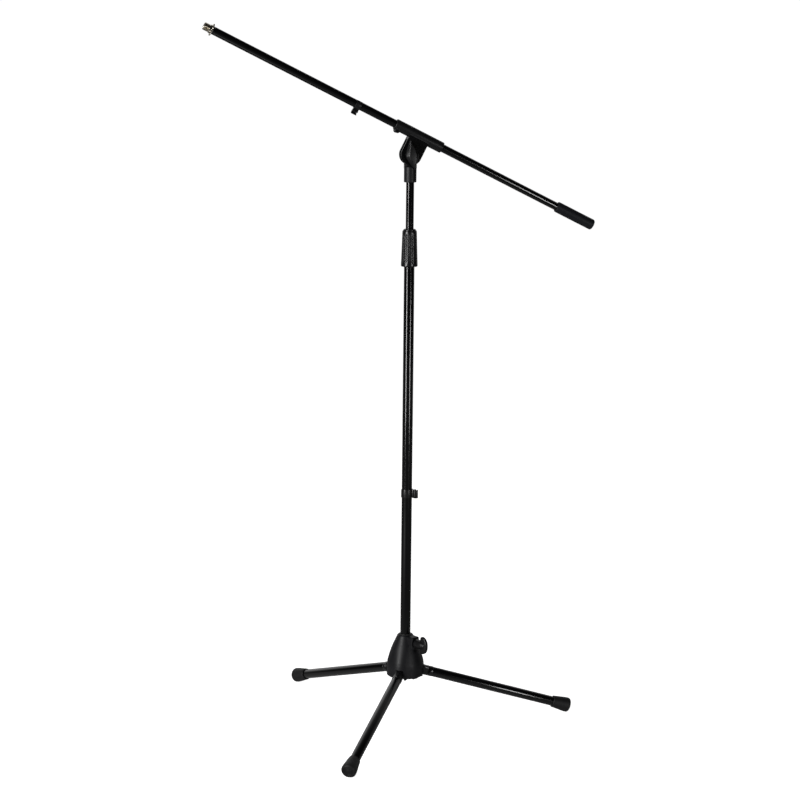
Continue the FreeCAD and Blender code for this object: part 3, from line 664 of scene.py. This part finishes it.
for side, node in ((1, "holder_front"), (-1, "holder_rear")):
    if side == -1:                            # the rear half is the front half mirrored
        rear = front_half.copy()
        rear.transform(M_HOLD @ Matrix.Diagonal((1, -1, 1, 1)) @ M_HOLD.inverted())
        rear.flip_normals()
        smooth_web_and_painted_shade(dress(new_object("holder_half_rear", rear), node, angle=34))
        continue
    S = M_HOLD
    # web with a round end, a raised rim and a recessed face
    arc = arc_pts(0, 0, 21.0, 0, -180, 48)
    web = prism("web", arc + [(-21.0, 34.0), (21.0, 34.0)], 6.25, 10.6, S)
    brl = lathe("barrel", rounded([(0, -51.5), (10.3, -51.5, 0.5), (11.0, -50.6, 0.5), (11.0, 53.6, 0.5), (10.3, 54.5, 0.5), (0, 54.5)], True, 0, 3), 128,
                S @ Matrix.Translation((0, 0, OFF * MM)) @ Matrix.Rotation(math.pi / 2, 4, "Y"))
    brg = prism("bridge", [(-20.96, OFF - 16.0), (20.96, OFF - 16.0), (20.96, OFF), (-20.96, OFF)], -12.0, 10.55, S)
    boolean(web, brg, "UNION")
    boolean(web, brl, "UNION")
    lug = lathe("lug", rounded([(0, -9.4), (5.0, -9.4), (5.0, 9.4, 0.8), (0, 9.4)], True, 0, 3), 64,
                S @ Matrix.Translation((46.6 * MM, 0, (OFF - 10.0) * MM)) @ Matrix.Rotation(math.pi / 2, 4, "X"))
    boolean(web, lug, "UNION")
    knife = prism("knife", [(-80, -60), (80, -60), (80, 80), (-80, 80)], -40, 0.18, S)
    boolean(web, knife)
    boolean(web, lathe("bore", [(0, -70), (8.66, -70), (8.66, 70), (0, 70)], 96, S @ Matrix.Translation((0, 0, OFF * MM)) @ Matrix.Rotation(math.pi / 2, 4, "Y")))
    boolean(web, lathe("bore3", [(0, -20), (4.03, -20), (4.03, 20), (0, 20)], 48, S @ Matrix.Rotation(math.pi / 2, 4, "X")))
    boolean(web, lathe("bore4", [(0, -20), (1.45, -20), (1.45, 20), (0, 20)], 32, S @ Matrix.Translation((46.8 * MM, 0, (OFF - 10.9) * MM)) @ Matrix.Rotation(math.pi / 2, 4, "X")))
    bevelled(web, 0.45, 3, 40)
    web.name = "holder_half_front"
    sealed(web)
    front_half = web.data.copy()
    smooth_web_and_painted_shade(dress(web, node, angle=34))

# wing knob on the pivot: a disc, and on it an almond with steep side walls, sloping shoulders and a narrow flat face
TILT = math.radians(26.4 + 9.5)
KM = M_HOLD @ Matrix.Rotation(TILT, 4, "Y")


def soft_ring(poly, z, ease_by=1.1, steps=5):
    """A ring of fixed size round a polygon whose corners are eased."""
    out, n = [], len(poly)
    for i in range(n):
        c, a, b = Vector(poly[i]), Vector(poly[i - 1]), Vector(poly[(i + 1) % n])
        a = c.lerp(a, min(0.45, ease_by / max(1e-3, (a - c).length)))
        b = c.lerp(b, min(0.45, ease_by / max(1e-3, (b - c).length)))
        for k in range(steps + 1):
            u = k / steps
            p = a * (1 - u) ** 2 + c * (2 * u * (1 - u)) + b * u ** 2
            out.append((p.x, p.y, z))
    return out


hub = lathe("wing_hub", rounded([(0, 11.3), (13.0, 11.3, 0.6), (13.0, 15.5, 0.9), (0, 15.5)], True, 0, 5), 128, KM @ Matrix.Rotation(-math.pi / 2, 4, "X"))
rings = []
for i in range(65):
    t = -1 + 2 * i / 64.0
    z = 28.5 * math.sin(t * math.pi / 2)
    q = abs(z) / 28.5
    w = max(0.3, 13.2 * (1 - q ** 1.35))
    wall, top = 21.2 - 1.6 * q ** 2, 26.8 - 3.0 * q ** 2
    rings.append(soft_ring([(-w, 13.2), (w, 13.2), (w, wall), (w * 0.5, top), (-w * 0.5, top), (-w, wall)], z))
blade = loft("blade", rings, KM)
boolean(hub, blade, "UNION")
hub.name = "pivot_wing_knob"
dress(hub, "wing_knob", angle=40)

# ------------------------------------------------------------------------------------------------ boom ends
g0, g1 = along_boom("grip_cover")
grip = [(0, g0), (7.6, g0, 1.2), (9.6, g0 + 0.7, 1.4), (11.0, g0 + 2.8, 1.4), (11.0, g0 + 20), (11.0, g1 - 20), (11.0, g1 - 2.4, 0.3), (10.75, g1 - 1.6, 0.2), (10.9, g1 - 1.3, 0.2), (10.3, g1, 0.4), (8.02, g1, 0.2), (8.02, g0 + 3.0), (0, g0 + 3.0)]
dress(lathe("grip_sleeve", rounded(grip, True, 0, 5), 128, M_AXIS), "grip_cover", angle=40)

r0, r1 = along_boom("lock_ring")


def knurl(th, r, z):
    return r - (0.38 * (0.5 + 0.5 * math.cos(60 * th)) if r > 11.9 else 0.0)


dress(lathe("knurled_ring", rounded([(4.85, r0 + 0.05, 0.2), (11.6, r0 + 0.05), (12.3, r0 + 0.7), (12.3, r1 - 0.7), (11.6, r1 - 0.05), (4.85, r1 - 0.05, 0.2)], True, 0, 3), 480, M_AXIS, shape=knurl), "lock_ring", angle=40)

a0, a1 = along_boom("thread_adapter")
PITCH = 25.4 / 27
ft = a0 + 3.4                                   # top of the flange
rows = []
prof = [(4.86, a0)] + rounded([(8.3, a0), (8.8, a0 + 0.5, 0.2), (8.8, ft - 0.5, 0.2), (8.3, ft)], False, 0, 3) + [(7.25, ft + 0.02), (7.2, ft + 0.7)]
zz = ft + 0.7
while zz < a1 - 0.9:
    prof.append((7.2001, zz))
    zz += PITCH / 8
prof += [(7.2, a1 - 0.85), (6.9, a1 - 0.1), (6.6, a1), (5.1, a1), (4.86, a1 - 0.3)]


def thread(th, r, z):
    if abs(r - 7.2001) > 1e-4:
        return r
    ph = (z / PITCH - th / TAU) % 1.0
    h = 1 - abs(2 * ph - 1)                      # triangular section with a small flat
    h = min(1.0, max(0.0, (h - 0.12) / 0.76))
    fade = ease((z - ft - 0.7) / 1.2) * ease((a1 - 0.9 - z) / 1.0)
    return 7.2 + 0.74 * h * fade


dress(lathe("mic_thread_adapter", prof, 144, M_AXIS, shape=thread), "thread_adapter", angle=25)

# ------------------------------------------------------------------------------------------------ CAD nodes that stay: give them their finish
for name, ob in frame["nodes"].items():
    if ob.hide_render:
        continue
    ob.data.materials.clear()
    ob.data.materials.append(MAT[NODE_SLOT[name]])
    for p in ob.data.polygons:
        p.material_index = 0

# ------------------------------------------------------------------------------------------------ floor, world, lights, camera


GLOW_AT, GLOW_R = (-1.10, -0.70), 0.9
GLOW_LOW, GLOW_HIGH, GLOW_NEAR = 0.10, 1.1, 0.25
ROOM, BACKDROP, PATCH = 0.010, 0.47, 0.45


def stage_floor():
    bm = bmesh.new()
    bmesh.ops.create_circle(bm, cap_ends=True, segments=128, radius=3.2)
    ob = new_object("studio_floor", bm)
    m = bpy.data.materials.new("studio_floor")
    m.use_nodes = True
    nt = m.node_tree
    bs = nt.nodes["Principled BSDF"]
    tc = nt.nodes.new("ShaderNodeTexCoord")
    no = nt.nodes.new("ShaderNodeTexNoise")
    no.inputs["Scale"].default_value = 60.0
    cr = nt.nodes.new("ShaderNodeValToRGB")
    cr.color_ramp.elements[0].color = (0.90, 0.90, 0.90, 1)
    cr.color_ramp.elements[1].color = (0.92, 0.92, 0.92, 1)
    nt.links.new(tc.outputs["Object"], no.inputs["Vector"])
    nt.links.new(no.outputs["Fac"], cr.inputs["Fac"])
    nt.links.new(cr.outputs["Color"], bs.inputs["Base Color"])
    bs.inputs["Roughness"].default_value = 0.9
    bs.inputs["Specular IOR Level"].default_value = 0.1
    bs.inputs["Emission Color"].default_value = (1, 1, 1, 1)
    bs.inputs["Emission Strength"].default_value = 0.95
    ob.data.materials.append(m)
    ob.visible_glossy = False
    ob.visible_diffuse = False
    return ob


stage_floor()


def glow_floor():
    """What polished paint sees below it: a dim grey floor, brighter in a soft patch ahead of the stand."""
    bm = bmesh.new()
    bmesh.ops.create_circle(bm, cap_ends=True, segments=96, radius=9.0)
    ob = new_object("floor_glow", bm, Matrix.Translation((0, 0, -0.004)))
    m = bpy.data.materials.new("floor_glow")
    m.use_nodes = True
    nt = m.node_tree
    nt.nodes.clear()
    N, L = nt.nodes.new, nt.links.new
    out, em = N("ShaderNodeOutputMaterial"), N("ShaderNodeEmission")
    tc, mp, gr, cr = N("ShaderNodeTexCoord"), N("ShaderNodeMapping"), N("ShaderNodeTexGradient"), N("ShaderNodeValToRGB")
    mp.vector_type = "POINT"
    mp.inputs["Location"].default_value = (GLOW_AT[0] / -GLOW_R, GLOW_AT[1] / -GLOW_R, 0)
    mp.inputs["Scale"].default_value = (1 / GLOW_R, 1 / GLOW_R, 1 / GLOW_R)
    gr.gradient_type = "QUADRATIC_SPHERE"
    cr.color_ramp.elements[0].color = (GLOW_LOW, GLOW_LOW, GLOW_LOW, 1)
    cr.color_ramp.elements[1].color = (GLOW_HIGH, GLOW_HIGH, GLOW_HIGH, 1)
    L(tc.outputs["Object"], mp.inputs["Vector"])
    L(mp.outputs["Vector"], gr.inputs["Vector"])
    # and a little brighter close around the feet
    m2, g2, r2, ad = N("ShaderNodeMapping"), N("ShaderNodeTexGradient"), N("ShaderNodeValToRGB"), N("ShaderNodeVectorMath")
    m2.vector_type = "POINT"
    m2.inputs["Location"].default_value = (0.05 / 0.75, -0.12 / 0.75, 0)
    m2.inputs["Scale"].default_value = (1 / 0.75, 1 / 0.75, 1 / 0.75)
    g2.gradient_type = "SPHERICAL"
    r2.color_ramp.elements[0].color = (0, 0, 0, 1)
    r2.color_ramp.elements[1].color = (GLOW_NEAR, GLOW_NEAR, GLOW_NEAR, 1)
    ad.operation = "ADD"
    L(tc.outputs["Object"], m2.inputs["Vector"])
    L(m2.outputs["Vector"], g2.inputs["Vector"])
    L(g2.outputs["Fac"], r2.inputs["Fac"])
    L(gr.outputs["Fac"], cr.inputs["Fac"])
    L(cr.outputs["Color"], ad.inputs[0])
    L(r2.outputs["Color"], ad.inputs[1])
    L(ad.outputs["Vector"], em.inputs["Color"])
    L(em.outputs["Emission"], out.inputs["Surface"])
    ob.data.materials.append(m)
    ob.visible_camera = False
    ob.visible_shadow = False


glow_floor()

w = bpy.data.worlds.new("studio")
bpy.context.scene.world = w
w.use_nodes = True
nt = w.node_tree
nt.nodes.clear()
o = nt.nodes.new("ShaderNodeOutputWorld")
bg1 = nt.nodes.new("ShaderNodeBackground")
bg2 = nt.nodes.new("ShaderNodeBackground")
mx = nt.nodes.new("ShaderNodeMixShader")
lp = nt.nodes.new("ShaderNodeLightPath")
bg1.inputs["Color"].default_value = (1, 1, 1, 1)
# what the stand reflects: a dark room ahead and above, a pale backdrop behind
tcw = nt.nodes.new("ShaderNodeTexCoord")
dotn = nt.nodes.new("ShaderNodeVectorMath")
dotn.operation = "DOT_PRODUCT"
dotn.inputs[1].default_value = (math.sin(math.radians(12.226)), math.cos(math.radians(12.226)), 0)
mrw = nt.nodes.new("ShaderNodeMapRange")
mrw.interpolation_type = "SMOOTHSTEP"
mrw.inputs["From Min"].default_value, mrw.inputs["From Max"].default_value = 0.30, 0.76
mrw.inputs["To Min"].default_value, mrw.inputs["To Max"].default_value = ROOM, BACKDROP
nt.links.new(tcw.outputs["Generated"], dotn.inputs[0])
nt.links.new(dotn.outputs["Value"], mrw.inputs["Value"])
dot2 = nt.nodes.new("ShaderNodeVectorMath")
dot2.operation = "DOT_PRODUCT"
dot2.inputs[1].default_value = Vector((-0.25, 0.86, 0.44)).normalized()
mr2 = nt.nodes.new("ShaderNodeMapRange")
mr2.interpolation_type = "SMOOTHSTEP"
mr2.inputs["From Min"].default_value, mr2.inputs["From Max"].default_value = 0.86, 0.98
mr2.inputs["To Min"].default_value, mr2.inputs["To Max"].default_value = 0.0, PATCH
addw = nt.nodes.new("ShaderNodeMath")
addw.operation = "ADD"
nt.links.new(tcw.outputs["Generated"], dot2.inputs[0])
nt.links.new(dot2.outputs["Value"], mr2.inputs["Value"])
nt.links.new(mrw.outputs["Result"], addw.inputs[0])
nt.links.new(mr2.outputs["Result"], addw.inputs[1])
nt.links.new(addw.outputs["Value"], bg1.inputs["Strength"])
bg2.inputs["Color"].default_value = (1, 1, 1, 1)
bg2.inputs["Strength"].default_value = 1.02
nt.links.new(lp.outputs["Is Camera Ray"], mx.inputs["Fac"])
nt.links.new(bg1.outputs["Background"], mx.inputs[1])
nt.links.new(bg2.outputs["Background"], mx.inputs[2])
nt.links.new(mx.outputs["Shader"], o.inputs["Surface"])

# camera: the studio view, 94 mm on a 36 mm frame, a little above the tripod and slightly rolled
CAM = Vector((-0.8969, -4.0644, 1.4390 - DROP * MM))
YAW, PITCHD, ROLL = math.radians(12.226), 0.17976, 0.00997
fw = Vector((math.sin(YAW) * math.cos(PITCHD), math.cos(YAW) * math.cos(PITCHD), -math.sin(PITCHD)))
rt = Vector((math.cos(YAW), -math.sin(YAW), 0))
up = rt.cross(fw)
r2 = rt * math.cos(ROLL) + up * math.sin(ROLL)
u2 = up * math.cos(ROLL) - rt * math.sin(ROLL)
cam = bpy.data.cameras.new("camera")
cam.sensor_width = 36.0
cam.lens = 2089.95 / 800.0 * 36.0
cam.clip_end = 100.0
co = bpy.data.objects.new("camera", cam)
bpy.context.scene.collection.objects.link(co)
Mc = Matrix((r2, u2, -fw)).transposed().to_4x4()
Mc.translation = CAM
co.matrix_world = Mc
bpy.context.scene.camera = co

flat_fw = Vector((math.sin(YAW), math.cos(YAW), 0))      # from the camera to the stand, level


def softbox(name, az, dist, z0, z1, width, power, aim=None, colour=(1, 1, 1), spread=180.0):
    """An upright area light at an angle az (degrees, to the right of the camera as seen from the stand)."""
    a = math.radians(az)
    back = -flat_fw
    side = rt
    d = back * math.cos(a) + side * math.sin(a)
    pos = d * dist + UP * ((z0 + z1) / 2)
    L = bpy.data.lights.new(name, "AREA")
    L.shape = "RECTANGLE"
    L.size, L.size_y = width, abs(z1 - z0)
    L.energy = power
    L.color = colour
    L.spread = math.radians(spread)
    ob = bpy.data.objects.new(name, L)
    bpy.context.scene.collection.objects.link(ob)
    target = Vector(aim) if aim else Vector((0, 0, pos.z))
    zax = (pos - target).normalized()
    xax = UP.cross(zax).normalized()
    yax = zax.cross(xax)
    m = Matrix((xax, yax, zax)).transposed().to_4x4()
    m.translation = pos
    ob.matrix_world = m
    return ob


softbox("key_left", -46, 4.0, 0.0, 1.2, 0.60, 50)
softbox("key_left_high", -46, 4.0, 1.4, 3.0, 0.60, 98)
softbox("key_right", 40, 4.0, 0.0, 0.85, 0.50, 25)

bpy.context.scene.view_settings.view_transform = "Standard"
bpy.context.scene.view_settings.look = "None"
